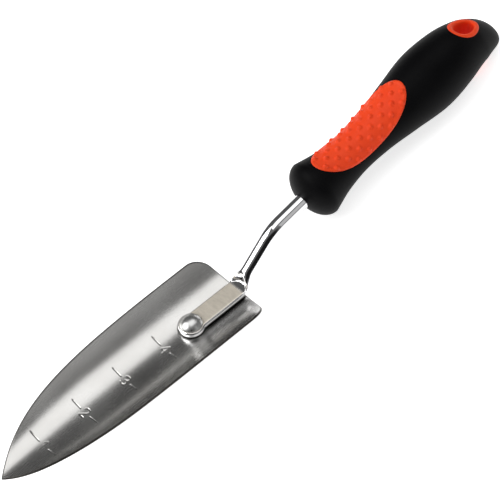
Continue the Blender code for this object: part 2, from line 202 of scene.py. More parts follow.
# Colours, linear. Of a pair, a soft mottle runs from one to the other.
STEEL = ((0.53, 0.52, 0.505), (0.65, 0.645, 0.63))
BRUSHED_LINE = (0.48, 0.475, 0.46)
# painted shade: near black laid on the blade where shade falls
BLADE_PAINTED_SHADE = (0.05, 0.046, 0.042)
PLATING = (0.8, 0.8, 0.81)
WORN_PLATING = ((0.70, 0.64, 0.54), (0.84, 0.77, 0.66))
# painted shade on the shank: the tang's lower sides and the hollow of the step
SHANK_PAINTED_SHADE = (0.03, 0.028, 0.025)
RIVET_STEEL = ((0.56, 0.56, 0.55), (0.64, 0.64, 0.63))
ORANGE = ((0.94, 0.062, 0.012), (0.98, 0.076, 0.016))
BLACK = ((0.0022, 0.0022, 0.0026), (0.004, 0.004, 0.0045))
CORE_GREY = ((0.03, 0.03, 0.03), (0.045, 0.045, 0.045))
PAPER = ((0.86, 0.86, 0.86), (0.9, 0.9, 0.9))
SCRATCH_DEPTH = 0.00005       # metres
GRAIN_DEPTH = 0.0001          # metres

# Studio, in metres and in the shared frame's directions.
FLOOR_HALF = 6.0
FLOOR_DROP = 0.0002
FLOOR_GLOW = 0.75
SKY_STRENGTH = (0.22, 0.10)   # towards -Y, towards +Y
SKY_FADE = (-0.9, 0.6)
FLAG_DIRECTION = (-0.52, -0.82, 0.25)
FLAG_EDGE = (0.72, 0.9)       # cosines of the angles from it where its shade starts and is full
FLAG_LEAVES = 0.06            # what it leaves of the sky's strength
LAMP_HEIGHT = 1.0

# Camera, in the tool frame.
CAMERA_BACK = (-0.390, -0.491, 0.779)
CAMERA_ROLL = 38.01           # degrees
CAMERA_AIM = (160, 0, 20)
AIM_RIGHT = 0.10
AIM_UP = 2.48
CAMERA_DISTANCE = 857.6
SENSOR = 36
LENS = 126.5


# ---------------------------------------------------------------- frames and meshes

def frame_from_mount(name, point):
    """The frame of a piece, from one mount: its place and direction, and its point in the piece."""
    mount = next(m for m in frame["record"]["mounts"] if m["name"] == name)
    up = Vector(mount["axis"]).normalized()
    across = Vector((0, 1, 0))
    along = across.cross(up)
    turn = Matrix((along, across, up)).transposed()
    origin = Vector(mount["pos_m"]) - turn @ (Vector(point) * MM)
    return Matrix.Translation(origin) @ turn.to_4x4()


def add_piece(name, points, faces, place):
    """An object whose mesh is drawn in millimetres in one of the two frames."""
    shape = bmesh.new()
    corners = [shape.verts.new(Vector(point) * MM) for point in points]
    for face in faces:
        shape.faces.new([corners[k] for k in face])
    bmesh.ops.recalc_face_normals(shape, faces=shape.faces)
    mesh = bpy.data.meshes.new(name)
    shape.to_mesh(mesh)
    shape.free()
    piece = bpy.data.objects.new(name, mesh)
    bpy.context.scene.collection.objects.link(piece)
    piece.matrix_world = place
    return piece


def cut(piece, *cutters):
    """Subtract solids for good, and remove them."""
    for cutter in cutters:
        step = piece.modifiers.new(cutter.name, "BOOLEAN")
        step.object = cutter
        step.solver = "EXACT"
    bpy.context.view_layer.update()
    solid = piece.evaluated_get(bpy.context.evaluated_depsgraph_get())
    whole, piece.data = piece.data, bpy.data.meshes.new_from_object(solid)
    piece.modifiers.clear()
    bpy.data.meshes.remove(whole)
    for cutter in cutters:
        bpy.data.objects.remove(cutter, do_unlink=True)


def dress(piece, look, node, sharp=40):
    """Shading, material and what the piece stands for; its mesh is put into the shared frame."""
    piece.data.transform(piece.matrix_basis)
    piece.matrix_basis = Matrix()
    piece.data.materials.clear()
    piece.data.materials.append(look)
    piece.data.shade_smooth()
    piece.data.set_sharp_from_angle(angle=math.radians(sharp))
    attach(piece, "root")
    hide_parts(node)


def mark(piece, name, values):
    """A number for every vertex, which the material reads by this name."""
    layer = piece.data.attributes.new(name, "FLOAT", "POINT")
    layer.data.foreach_set("value", np.array(values, dtype=np.float32))


def loft_faces(rings, columns, closed_ends=True):
    """Faces of a skin over rings of equal length, whose points are numbered ring by ring."""
    faces = []
    for i in range(rings - 1):
        for j in range(columns):
            n = (j + 1) % columns
            faces.append((i * columns + j, i * columns + n,
                          (i + 1) * columns + n, (i + 1) * columns + j))
    if closed_ends:
        faces.append(tuple(range(columns)))
        faces.append(tuple((rings - 1) * columns + j for j in range(columns)))
    return faces


def loft(name, rings, place):
    points = [point for ring in rings for point in ring]
    return add_piece(name, points, loft_faces(len(rings), len(rings[0])), place)


def slab(name, top, bottom, place):
    """A closed sheet from two matching grids of points: faces, back and the edge between."""
    rows, columns = len(top), len(top[0])
    count = rows * columns
    points = [point for grid in (top, bottom) for row in grid for point in row]
    faces = []
    for i in range(rows - 1):
        for j in range(columns - 1):
            a, b = i * columns + j, (i + 1) * columns + j
            faces.append((a, a + 1, b + 1, b))
            faces.append((count + a, count + b, count + b + 1, count + a + 1))
    border = list(range(columns))
    border += [i * columns + columns - 1 for i in range(1, rows)]
    border += [(rows - 1) * columns + j for j in range(columns - 2, -1, -1)]
    border += [i * columns for i in range(rows - 2, 0, -1)]
    for a, b in zip(border, border[1:] + border[:1]):
        faces.append((a, b, count + b, count + a))
    return add_piece(name, points, faces, place)


def smooth(t):
    """A soft step from 0 to 1."""
    t = min(max(t, 0.0), 1.0)
    return t * t * (3 - 2 * t)


def spread(*spans):
    """Stations over joined spans, each given as (start, end, spacing)."""
    stations = [spans[0][0]]
    for start, end, spacing in spans:
        count = max(1, round((end - start) / spacing))
        stations += [start + (end - start) * k / count for k in range(1, count + 1)]
    return stations


def rounding(distance, radius):
    """How far a surface has dropped near its edge, at a distance from it, for a round edge."""
    inward = np.clip(radius - distance, 0.0, radius)
    return radius - np.sqrt(np.maximum(radius ** 2 - inward ** 2, 0.0))


def distance_to(points, paths):
    """Distance from each 2D point to the nearest of some broken lines."""
    points = np.asarray(points, dtype=float)
    nearest = np.full(len(points), np.inf)
    for path in paths:
        for a, b in zip(path, path[1:]):
            a, b = np.asarray(a, dtype=float), np.asarray(b, dtype=float)
            run = b - a
            t = np.clip((points - a) @ run / max(run @ run, 1e-12), 0.0, 1.0)
            nearest = np.minimum(nearest, np.hypot(*(points - a - t[:, None] * run).T))
    return nearest


# ---------------------------------------------------------------- blade

def blank_half_width(x):
    edge = BLANK_HALF_WIDTH * (1 - (1 - x / BLANK_RUN) ** BLANK_POWER)
    into_corner = x - (BLADE_CORNER_X - CORNER_RADIUS)
    if into_corner > 0:
        edge -= CORNER_RADIUS - math.sqrt(max(CORNER_RADIUS ** 2 - into_corner ** 2, 0.0))
    return edge


def heel_bulge(x, along_arc):
    """How far a point of the blank moves back, so that the heel edge is a shallow arc."""
    corner_start = BLADE_CORNER_X - CORNER_RADIUS
    return (HEEL_BULGE * smooth((x - BULGE_START) / (corner_start - BULGE_START))
            * (1 - (along_arc / BLANK_HALF_WIDTH) ** 2))


def channel_radius(x):
    tightening = max(1 - x / TIGHTENING_X, 0.0) ** 2
    return CHANNEL_RADIUS + (TIP_RADIUS - CHANNEL_RADIUS) * tightening


def channel_point(x, along_arc, below=0.0):
    """A point of the flat blank rolled into the channel, some way under its concave face."""
    radius = channel_radius(x)
    angle = along_arc / radius
    return (x, (radius + below) * math.sin(angle), radius - (radius + below) * math.cos(angle))


def channel_height(y):
    return CHANNEL_RADIUS - math.sqrt(CHANNEL_RADIUS ** 2 - y * y)


def scale_strokes():
    """Centre lines of the engraved scale on the flat blank: a digit between two ticks an inch."""
    strokes = []
    for number, digit in DIGITS.items():
        x = number * INCH
        for side in (-1, 1):
            strokes.append([(x, side * TICK[0]), (x, side * TICK[1])])
        for path in digit:
            strokes.append([(x + (v - 0.5) * DIGIT_HEIGHT, (DIGIT_WIDTH / 2 - u) * DIGIT_HEIGHT)
                            for u, v in path])
    return strokes


def blade_stations():
    """Rows that are close together at the scale, the tip and the heel."""
    reach = DIGIT_HEIGHT / 2 + 2 * STROKE
    spans = [(0.3, 4.0, 0.5), (4.0, INCH - reach, 1.6)]
    for number in DIGITS:
        spans.append((number * INCH - reach, number * INCH + reach, 0.2))
        if number < len(DIGITS):
            spans.append((number * INCH + reach, (number + 1) * INCH - reach, 2.4))
    eye_back = EYE_X + EYE_RADIUS
    spans += [(len(DIGITS) * INCH + reach, eye_back, 0.6),
              (eye_back, BLADE_CORNER_X - CORNER_RADIUS, 2.4)]
    rows = spread(*spans)
    turns = 16
    return rows + [BLADE_CORNER_X - CORNER_RADIUS * (1 - math.sin(math.pi / 2 * k / turns))
                   for k in range(1, turns + 1)]


def blade_columns():
    """Places across the blank, from -1 to 1: close together at the digits and the edges."""
    half = spread((0.0, 0.13, 0.0085), (0.13, 0.6, 0.02), (0.6, 0.96, 0.04))
    half += [0.975, 0.985, 0.993, 0.998, 1.0]
    return [-v for v in half[:0:-1]] + half


def blade_outline():
    """Half of the blank's edge, from the tip round the corner to the middle of the heel."""
    xs = spread((0.0, BLADE_CORNER_X - CORNER_RADIUS, 1.5))
    turns = 24
    xs += [BLADE_CORNER_X - CORNER_RADIUS * (1 - math.sin(math.pi / 2 * k / turns))
           for k in range(1, turns + 1)]
    edge = [(x + heel_bulge(x, blank_half_width(x)), blank_half_width(x)) for x in xs]
    last = blank_half_width(BLADE_CORNER_X)
    return edge + [(BLADE_CORNER_X + heel_bulge(BLADE_CORNER_X, last * k / 12), last * k / 12)
                   for k in range(11, -1, -1)]


def make_blade(place, look):
    flat = []
    for x in blade_stations():
        half = blank_half_width(x)
        flat.append([(x + heel_bulge(x, v * half), v * half) for v in blade_columns()])
    spots = np.array([spot for row in flat for spot in row])
    from_edge = distance_to(np.abs(spots), [blade_outline()])
    rim = rounding(from_edge, RIM_ROUND)
    groove = np.clip(1 - (distance_to(spots, scale_strokes()) / STROKE) ** 2, 0.0, 1.0)
    above = rim + ENGRAVED * np.sqrt(groove)
    under = SHEET - rim
    columns = len(flat[0])
    top, bottom = [], []
    for i, row in enumerate(flat):
        at = i * columns
        top.append([channel_point(x, s, above[at + j]) for j, (x, s) in enumerate(row)])
        bottom.append([channel_point(x, s, under[at + j]) for j, (x, s) in enumerate(row)])
    blade = slab("blade_pressing", top, bottom, place)
    cut(blade, drill("blade_hole", place))
    mark(blade, "painted_shade_mask", blade_painted_shade(blade))
    dress(blade, look, "blade", sharp=50)


def blade_painted_shade(blade):
    """How much painted shade each vertex gets: in the engraved strokes, beside the tang, and round
    the cut rim.
    """
    local = [vertex.co / MM for vertex in blade.data.vertices]
    arcs = [(p.x, channel_radius(p.x) * math.atan2(p.y, channel_radius(p.x) - p.z)) for p in local]
    on_top = [channel_radius(p.x) - math.hypot(p.y, channel_radius(p.x) - p.z) > -SHEET / 2
              for p in local]
    # painted shade in and beside the engraved strokes
    strokes = np.clip(STROKE_REACH - distance_to(arcs, scale_strokes()) / STROKE, 0.0, 1.0)
    # painted shade: a contact shadow in the crevice beside the tang and round its eye
    crevice = np.clip(1 - np.array([outside_tang(p.x, p.y) for p in local]) / CREVICE, 0.0, 1.0)
    on_face = np.maximum(STROKE_SHADE * strokes, CREVICE_SHADE * crevice) * on_top
    from_edge = distance_to(np.abs(arcs), [blade_outline()])
    # painted shade along the cut rim, for the shaded side of the sheet's edge
    return np.maximum(on_face, RIM_DARK * np.clip(RIM_REACH - from_edge / RIM_ROUND, 0.0, 1.0))


def outside_tang(x, y):
    """How far a point of the channel lies outside the tang and its eye, seen from above."""
    from_eye = math.hypot(x - EYE_X, y) - EYE_RADIUS
    return max(0.0, min(from_eye, abs(y) - TANG_HALF_WIDTH) if x > EYE_X else from_eye)


def drill(name, place):
    """A cylinder for the rivet's hole."""
    segments = 48
    ring = [(math.cos(2 * math.pi * k / segments) * (RIVET_RADIUS + SEAM) + EYE_X,
             math.sin(2 * math.pi * k / segments) * (RIVET_RADIUS + SEAM))
            for k in range(segments)]
    return loft(name, [[(x, y, z) for x, y in ring] for z in (-DRILL_REACH, DRILL_REACH)], place)


# ---------------------------------------------------------------- shank

def bend_route(corners, radii):
    """Stations (X, Z, slope) along straight runs joined by arcs."""
    slopes = [math.atan2(b[1] - a[1], b[0] - a[0]) for a, b in zip(corners, corners[1:])]
    points = [(*corners[0], slopes[0])]
    for k in range(1, len(corners) - 1):
        turn = slopes[k] - slopes[k - 1]
        reach = abs(radii[k] * math.tan(turn / 2))
        start = (corners[k][0] - reach * math.cos(slopes[k - 1]),
                 corners[k][1] - reach * math.sin(slopes[k - 1]))
        side = math.copysign(radii[k], turn)
        steps = round(abs(turn) / math.radians(2.5))
        for i in range(steps + 1):
            slope = slopes[k - 1] + turn * i / steps
            points.append((start[0] + side * (math.sin(slope) - math.sin(slopes[k - 1])),
                           start[1] - side * (math.cos(slope) - math.cos(slopes[k - 1])), slope))
    points.append((*corners[-1], slopes[-1]))
    filled = [points[0]]
    for before, after in zip(points, points[1:]):
        steps = max(1, round(math.dist(before[:2], after[:2])))
        for i in range(1, steps + 1):
            t = i / steps
            filled.append((before[0] + t * (after[0] - before[0]),
                           before[1] + t * (after[1] - before[1]),
                           after[2] if i == steps else before[2]))
    return filled


def shank_stations(place, grip_place):
    """The centre line: the round front of the eye, the tang, and the two bends into the grip."""
    floor = TANG_TOP - 2 * TANG_HALF_HEIGHT + ROD_RADIUS
    end = (place.inverted() @ grip_place @ (Vector((SHANK_END, 0, 0)) * MM)) / MM
    route = bend_route([(EYE_X, floor), (LOWER_BEND[0], floor), UPPER_BEND[:2], (end.x, end.z)],
                       [0, LOWER_BEND[1], UPPER_BEND[2], 0])
    turns = 18
    front = [(EYE_X - EYE_RADIUS * math.cos(math.pi / 2 * k / turns), floor, 0.0)
             for k in range(1, turns)]
    return [(EYE_X - EYE_RADIUS + 0.01, floor, 0.0)] + front + route


def shank_ring(x, z, slope, length):
    """A section: flat with rounded edges on the tang, round on the rod."""
    narrowing = smooth((length - (SHOULDER_X - EYE_X)) / SHOULDER_RUN)
    thickening = smooth((length - (SCOOP_X - EYE_X)) / SCOOP_RUN)
    width = TANG_HALF_WIDTH + (ROD_RADIUS - TANG_HALF_WIDTH) * narrowing
    height = TANG_HALF_HEIGHT + (ROD_RADIUS - TANG_HALF_HEIGHT) * thickening
    undercut = max(TANG_EDGE + (ROD_RADIUS * ROUNDNESS - TANG_EDGE) * thickening, TANG_UNDERCUT)
    undercut = min(undercut, height * ROUNDNESS)
    round_front = length < math.sqrt(EYE_RADIUS ** 2 - TANG_HALF_WIDTH ** 2)
    if round_front:
        width = math.sqrt(EYE_RADIUS ** 2 - (x - EYE_X) ** 2)
    lying = 1 - smooth((x - LYING_END) / LIFT_RUN)
    ring = []
    for side in (1, -1):
        for k in range(RING_COLUMNS + 1):
            y = -side * width * math.cos(math.pi * k / RING_COLUMNS)
            inward = EYE_RADIUS - math.hypot(x - EYE_X, y) if round_front else width - abs(y)
            if side > 0:
                bow = SCOOP_BOW * (1 - (y / width) ** 2)
                rise = smooth((length - (SCOOP_X - EYE_X) - bow) / SCOOP_RUN)
                flat = 2 * TANG_HALF_HEIGHT - float(rounding(inward, TANG_EDGE))
                full = 2 * ROD_RADIUS - float(rounding(inward, ROD_RADIUS * ROUNDNESS))
                up = flat + (full - flat) * rise - ROD_RADIUS
            else:
                up = float(rounding(inward, undercut)) - ROD_RADIUS - lying * (GAP - SEAM)
                if lying > 0:
                    up = max(up, lying * (channel_height(y) + SEAM - z) - (1 - lying) * ROD_RADIUS)
            ring.append((x - up * math.sin(slope), y, z + up * math.cos(slope)))
    return ring


def make_shank(place, grip_place, look):
    stations = shank_stations(place, grip_place)
    rings, length, before = [], 0.0, None
    for x, z, slope in stations:
        if before and x > EYE_X:
            length += math.dist((x, z), before)
        before = (x, z)
        rings.append(shank_ring(x, z, slope, length))
    shank = loft("shank_bar", rings, place)
    cut(shank, drill("shank_hole", place))
    on_face, painted_shade = [], []
    for vertex in shank.data.vertices:
        point = vertex.co / MM
        before_step = 1 - smooth((point.x - SCOOP_X) / STEP_FADE)
        level = 1 - smooth((abs(point.z - TANG_TOP) - FACE_LEVEL[0]) / FACE_LEVEL[1])
        on_face.append(level * before_step)
        # painted shade: near black on the lower part of the tang's sides, for the contact shadow
        # there
        low = 1 - smooth((point.z - TANG_FOOT) / FOOT_FADE)
        foot = low * smooth((point.x - EYE_X) / EYE_RADIUS) * before_step
        # painted shade: a dark spot in the hollow of the step
        dimple = 1 - smooth((math.dist(point, DIMPLE) - DIMPLE_RADIUS) / DIMPLE_FADE)
        painted_shade.append(max(foot, DIMPLE_SHADE * dimple))
    mark(shank, "tang_face", on_face)
    mark(shank, "painted_shade_mask", painted_shade)
    dress(shank, look, "shank", sharp=50)


# ---------------------------------------------------------------- rivet

def make_rivet(place, look):
    """A turned solid: domed head with a rounded rim, stem, and a formed tail under the blade."""
    seat = TANG_TOP + SEAM
    dome_base = seat + HEAD_RIM
    dome = HEAD_TOP - dome_base
    ball = (HEAD_RADIUS ** 2 + dome ** 2) / (2 * dome)
    reach = math.asin(HEAD_RADIUS / ball)
    below = -SHEET - SEAM
    profile = [(ball * math.sin(reach * k / 20), HEAD_TOP - ball * (1 - math.cos(reach * k / 20)))
               for k in range(1, 20)]
    for k in range(7):
        turn = math.radians(45 - 20 * k)
        profile.append((HEAD_RADIUS - HEAD_EDGE + HEAD_EDGE * math.cos(turn),
                        dome_base - EDGE_DROP + HEAD_EDGE * math.sin(turn)))
    profile += [(HEAD_RADIUS - HEAD_UNDERCUT, seat), (RIVET_RADIUS, seat),
                (RIVET_RADIUS, below), (TAIL_RADIUS - TAIL_CHAMFER, below)]
    for k in range(9):
        turn = math.pi / 2 * k / 9
        profile.append((TAIL_RADIUS * math.cos(turn) ** TAIL_POWER,
                        below - TAIL_HEIGHT * math.sin(turn)))
    profile.append((TAIL_DIMPLE[0], below - TAIL_HEIGHT * TAIL_DIMPLE[1]))
    segments = 72
    points = [(EYE_X + r * math.cos(2 * math.pi * k / segments),
               r * math.sin(2 * math.pi * k / segments), z)
              for r, z in profile for k in range(segments)]
    rivet = add_piece("rivet_turned", points, loft_faces(len(profile), segments), place)
    dress(rivet, look, "rivet", sharp=60)


# ---------------------------------------------------------------- grip

def through(stations, x):
    """A smooth curve through (x, y) stations: cubic spans with the neighbours' slopes."""
    last = len(stations) - 1

    def slope(k):
        (xa, ya), (xb, yb) = stations[max(k - 1, 0)], stations[min(k + 1, last)]
        return (yb - ya) / (xb - xa)

    k = 0
    while k < last - 1 and x > stations[k + 1][0]:
        k += 1
    (x0, y0), (x1, y1) = stations[k], stations[k + 1]
    span = x1 - x0
    t = (x - x0) / span
    return (y0 * (1 + 2 * t) * (1 - t) ** 2 + slope(k) * span * t * (1 - t) ** 2
            + y1 * t * t * (3 - 2 * t) + slope(k + 1) * span * t * t * (t - 1))


def grip_radius(x):
    first_x, first_radius = GRIP_STATIONS[0]
    last_x, last_radius = GRIP_STATIONS[-1]
    if x < first_x:
        return first_radius * math.sqrt(max(1 - (1 - x / first_x) ** 2, 0.0))
    if x > last_x:
        u = (x - last_x) / (GRIP_LENGTH - last_x)
        return (last_radius - TAIL_TAPER * u * (1 - u)) * math.sqrt(max(1 - u * u, 0.0))
    return through(GRIP_STATIONS, x)


def grip_height(x):
    """Height of the section's centre: level, then curving down at the tail."""
    return -DROOP * max(0.0, (x - DROOP_START) / (GRIP_LENGTH - DROOP_START)) ** 3


def grip_point(x, angle, inset=0.0):
    """A point on the grip's surface; angle 0 is the top and grows towards +Y."""
    radius = max(grip_radius(x) - inset, 0.0)
    return (x, radius / GRIP_OVAL * math.sin(angle),
            grip_height(x) + radius * GRIP_OVAL * math.cos(angle))


def grip_rows(front, back, spacing):
    """Stations along the grip, closer together where its two ends round off."""
    first, last = GRIP_STATIONS[0][0], GRIP_STATIONS[-1][0]
    steps = 16
    rows = sorted({round(max(front, first * (1 - math.cos(math.pi / 2 * k / steps))), 4)
                   for k in range(1, steps)})
    rows += spread((max(front, first), min(back, last), spacing))
    if back > last:
        rows += [last + (back - last) * math.sin(math.pi / 2 * k / steps)
                 for k in range(1, steps)]
    return rows


def grip_solid(name, front, back, inset, spacing, segments, place):
    rings = [[grip_point(x, 2 * math.pi * k / segments, inset) for k in range(segments)]
             for x in grip_rows(front, back, spacing) if grip_radius(x) - inset > 0.2]
    return loft(name, rings, place)


def pad_outline(margin):
    """The pad's edge laid flat: places along the grip and round it."""
    turns = 120
    outline = []
    for k in range(turns + 1):
        u = -math.cos(math.pi * k / turns)
        outline.append((PAD_MIDDLE + (PAD_HALF_LENGTH + margin) * u,
                        (PAD_HALF_WRAP + margin) * math.sqrt(max(1 - abs(u) ** PAD_POWER, 0.0))))
    return outline


def pad_patch(margin, rows, columns):
    """Flat places of a grid over the oval, as rows of (x, round)."""
    grid = []
    for i in range(rows + 1):
        u = -math.cos(math.pi * (i + 0.35 * (1 - 2 * i / rows)) / rows)
        half = (PAD_HALF_WRAP + margin) * math.sqrt(max(1 - abs(u) ** PAD_POWER, 0.0))
        x = PAD_MIDDLE + (PAD_HALF_LENGTH + margin) * u
        grid.append([(x, half * math.sin(math.pi / 2 * (2 * j / columns - 1)))
                     for j in range(columns + 1)])
    return grid


def wrap(x, around, inset):
    return grip_point(x, around / grip_radius(x), inset)


def bump_centres():
    centres = []
    for row in range(-3, 4):
        offset = BUMP_PITCH / 2 if row % 2 else 0.0
        for k in range(-5, 6):
            x, around = PAD_MIDDLE + k * BUMP_PITCH + offset, row * BUMP_ROW
            inside = abs(x - PAD_MIDDLE) < PAD_HALF_LENGTH and abs(around) < PAD_HALF_WRAP
            border = distance_to([(x, abs(around))], [pad_outline(0)])[0]
            if inside and border > PLAIN_BORDER:
                centres.append((x, around))
    return centres


def make_pad(place, look):
    grid = pad_patch(0, *PAD_GRID)
    spots = np.array([spot for row in grid for spot in row])
    from_edge = distance_to(np.column_stack([spots[:, 0], np.abs(spots[:, 1])]), [pad_outline(0)])
    height = np.full(len(spots), PAD_PROUD)
    height += LIP * np.exp(-((from_edge - LIP_PLACE[0]) / LIP_PLACE[1]) ** 2)
    for centre in bump_centres():
        from_centre = np.hypot(*(spots - centre).T) / BUMP_RADIUS
        height += BUMP_HEIGHT * np.clip(1 - from_centre ** 2, 0.0, 1.0) ** BUMP_POWER
    height -= rounding(from_edge, PAD_EDGE)
    columns = len(grid[0])
    top = [[wrap(x, s, -height[i * columns + j]) for j, (x, s) in enumerate(row)]
           for i, row in enumerate(grid)]
    bottom = [[wrap(x, s, PAD_SUNK) for x, s in row] for row in grid]
    pad = slab("thumb_pad_moulding", top, bottom, place)
    dress(pad, look, "thumb_pad", sharp=60)


def teardrop(size, angle):
    """Outline of the hang hole: an oval that is wider towards the front."""
    along = math.cos(angle)
    return (HOLE_MIDDLE + size[0] * along, size[1] * math.sin(angle) * (1 - TEARDROP * along))


def skin_height(x, y, side):
    """Height of the grip's surface over or under a point."""
    radius = grip_radius(x)
    across = min(abs(y) * GRIP_OVAL / radius, 1.0)
    return grip_height(x) + side * radius * GRIP_OVAL * math.sqrt(1 - across * across)


def make_bush(place, look):
    """The liner of the hang hole: a rounded band at each mouth, sloping into the hole."""
    profile = [(t, h, 1) for t, h in BUSH_LIP] + [(t, h, -1) for t, h in BUSH_LIP[::-1]]
    turns = 96
    points = []
    for t, h, side in profile:
        size = [a + (b - a) * t for a, b in zip(BUSH_OUTER, BUSH_INNER)]
        for k in range(turns):
            x, y = teardrop(size, 2 * math.pi * k / turns)
            points.append((x, y, skin_height(x, y, side) + side * h))
    faces = loft_faces(len(profile), turns, closed_ends=False)
    last = (len(profile) - 1) * turns
    for k in range(turns):
        n = (k + 1) % turns
        faces.append((last + k, last + n, n, k))
    bush = add_piece("hang_hole_liner", points, faces, place)
    dress(bush, look, "hang_hole_bush", sharp=60)


def hole_plug(place):
    turns = 96
    size = (BUSH_OUTER[0] + SEAM, BUSH_OUTER[1] + SEAM)
    outline = [teardrop(size, 2 * math.pi * k / turns) for k in range(turns)]
    return loft("hole_plug", [[(x, y, grip_height(x) + z) for x, y in outline]
                              for z in (-PLUG_REACH, PLUG_REACH)], place)


def make_sleeve(place, tool_place, look):
    sleeve = grip_solid("grip_moulding", 0.02, GRIP_LENGTH, inset=0, spacing=1.5,
                        segments=SLEEVE_SEGMENTS, place=place)
    room = grip_solid("core_room", CORE_FRONT - GAP, CORE_BACK + GAP, inset=WALL - GAP,
                      spacing=7.0, segments=32, place=place)
    grid = pad_patch(SEAM, *POCKET_GRID)
    above = [[wrap(x, s, -POCKET_REACH) for x, s in row] for row in grid]
    below = [[wrap(x, s, PAD_SUNK + SEAM) for x, s in row] for row in grid]
    pocket = slab("pad_pocket", above, below, place)
    cut(sleeve, room, pocket, hole_plug(place), rod_bore(place, tool_place))
    dress(sleeve, look, "grip_sleeve", sharp=35)


def rod_bore(place, tool_place):
    """The hole that the rod goes into, along the rod's last straight run."""
    bend = tool_place @ (Vector((UPPER_BEND[0], 0, UPPER_BEND[1])) * MM)
    start = (place.inverted() @ bend) / MM
    end = Vector((SHANK_END, 0, 0))
    run = (end - start).normalized()
    up = run.cross(Vector((0, -1, 0)))
    radius = ROD_RADIUS + BORE_CLEARANCE
    turns = 48
    rings = []
    for x in (BORE_FRONT, CORE_FRONT + BORE_OVERLAP):
        centre = start + run * ((x - start.x) / run.x)
        rings.append([centre + Vector((0, 1, 0)) * (radius * math.cos(2 * math.pi * k / turns))
                      + up * (radius * math.sin(2 * math.pi * k / turns)) for k in range(turns)])
    return loft("rod_bore", rings, place)


# ---------------------------------------------------------------- materials

class Nodes:
    """A node tree being built: each call adds a node and links or sets its inputs."""

    def __init__(self, tree, place=Matrix()):
        self.tree = tree
        self.place = place

    def add(self, kind, inputs, **settings):
        node = self.tree.nodes.new(kind)
        for key, value in settings.items():
            setattr(node, key, value)
        self.feed(node, inputs)
        return node

    def feed(self, node, inputs):
        for key, value in inputs.items():
            if isinstance(value, bpy.types.NodeSocket):
                self.tree.links.new(value, node.inputs[key])
            else:
                node.inputs[key].default_value = value

    def stretched(self, scale):
        """Metres in the piece's own frame, scaled along each axis."""
        spot = self.add("ShaderNodeTexCoord", {})
        return self.add("ShaderNodeMapping", {"Vector": spot.outputs["Object"],
                                              "Location": self.place.translation,
                                              "Rotation": self.place.to_euler(),
                                              "Scale": [1 / s for s in scale]},
                        vector_type="TEXTURE").outputs["Vector"]

    def noise(self, scale, detail=3.0, roughness=0.5):
        return self.add("ShaderNodeTexNoise", {"Vector": self.stretched(scale), "Scale": 1.0,
                                               "Detail": detail,
                                               "Roughness": roughness}).outputs["Fac"]

    def between(self, value, low, high, from_low=0.0, from_high=1.0, **settings):
        return self.add("ShaderNodeMapRange",
                        {"Value": value, "From Min": from_low, "From Max": from_high,
                         "To Min": low, "To Max": high}, **settings).outputs["Result"]

    def blend(self, share, first, second):
        """A colour between two others."""
        node = self.add("ShaderNodeMix", {}, data_type="RGBA")
        colours = [socket for socket in node.inputs if socket.type == "RGBA"]
        self.tree.links.new(share, node.inputs["Factor"])
        for socket, colour in zip(colours, (first, second)):
            if isinstance(colour, bpy.types.NodeSocket):
                self.tree.links.new(colour, socket)
            else:
                socket.default_value = (*colour, 1.0)
        return next(socket for socket in node.outputs if socket.type == "RGBA")

    def sum(self, first, second):
        return self.add("ShaderNodeMath", {0: first, 1: second}, operation="ADD").outputs[0]

    def product(self, first, second):
        return self.add("ShaderNodeMath", {0: first, 1: second}, operation="MULTIPLY").outputs[0]

    def attribute(self, name):
        return self.add("ShaderNodeAttribute", {}, attribute_name=name).outputs["Fac"]

    def bump(self, height, strength, distance):
        return self.add("ShaderNodeBump", {"Height": height, "Strength": strength,
                                           "Distance": distance}).outputs["Normal"]


class Look(Nodes):
    """A material being built on its main shader."""

    def __init__(self, name, place=Matrix()):
        self.material = bpy.data.materials.new(name)
        self.material.use_nodes = True
        super().__init__(self.material.node_tree, place)
        self.shader = self.tree.nodes["Principled BSDF"]


def brushed_blade(place):
    look = Look("satin_stainless", place)
    lines = look.noise((260.0, 6000.0, 6000.0), detail=4.0, roughness=0.65)
    patches = look.noise((28.0, 45.0, 45.0), detail=3.0)
    grain = look.noise((2600.0, 2600.0, 2600.0), detail=2.0)
    painted_shade = look.attribute("painted_shade_mask")
    metal = look.blend(look.between(patches, 0.0, 1.0, 0.3, 0.7), *STEEL)
    metal = look.blend(look.between(lines, 0.0, 0.14, 0.35, 0.75), metal, BRUSHED_LINE)
    # painted shade on the blade: the engraved strokes, the crevice beside the tang and the cut rim
    # darkened to near black
    metal = look.blend(painted_shade, metal, BLADE_PAINTED_SHADE)
    rough = look.sum(look.between(lines, 0.21, 0.25, 0.3, 0.7),
                     look.between(patches, 0.0, 0.06, 0.3, 0.7))
    height = look.sum(lines, look.product(grain, 0.5))
    look.feed(look.shader, {"Base Color": metal, "Metallic": 1.0, "Roughness": rough,
                            "Normal": look.bump(height, 0.09, SCRATCH_DEPTH)})
    return look.material


def plated_shank(place):
    look = Look("bright_plating", place)
    face = look.attribute("tang_face")
    scuffs = look.noise((700.0, 260.0, 700.0), detail=5.0, roughness=0.7)
    clouds = look.noise((90.0, 90.0, 90.0), detail=2.0)
    worn = look.blend(look.between(scuffs, 0.0, 1.0, 0.35, 0.7), *WORN_PLATING)
    metal = look.blend(face, PLATING, worn)
    # painted shade on the tang's lower sides and in the step's hollow
    metal = look.blend(look.attribute("painted_shade_mask"), metal, SHANK_PAINTED_SHADE)
    polish = look.between(clouds, 0.05, 0.085, 0.3, 0.7)
    wear = look.product(face, look.between(scuffs, 0.22, 0.34, 0.3, 0.7))
    look.feed(look.shader, {"Base Color": metal, "Metallic": look.between(face, 1.0, 0.45),
                            "Roughness": look.sum(wear, polish),
                            "Normal": look.bump(scuffs, 0.04, SCRATCH_DEPTH)})
    return look.material


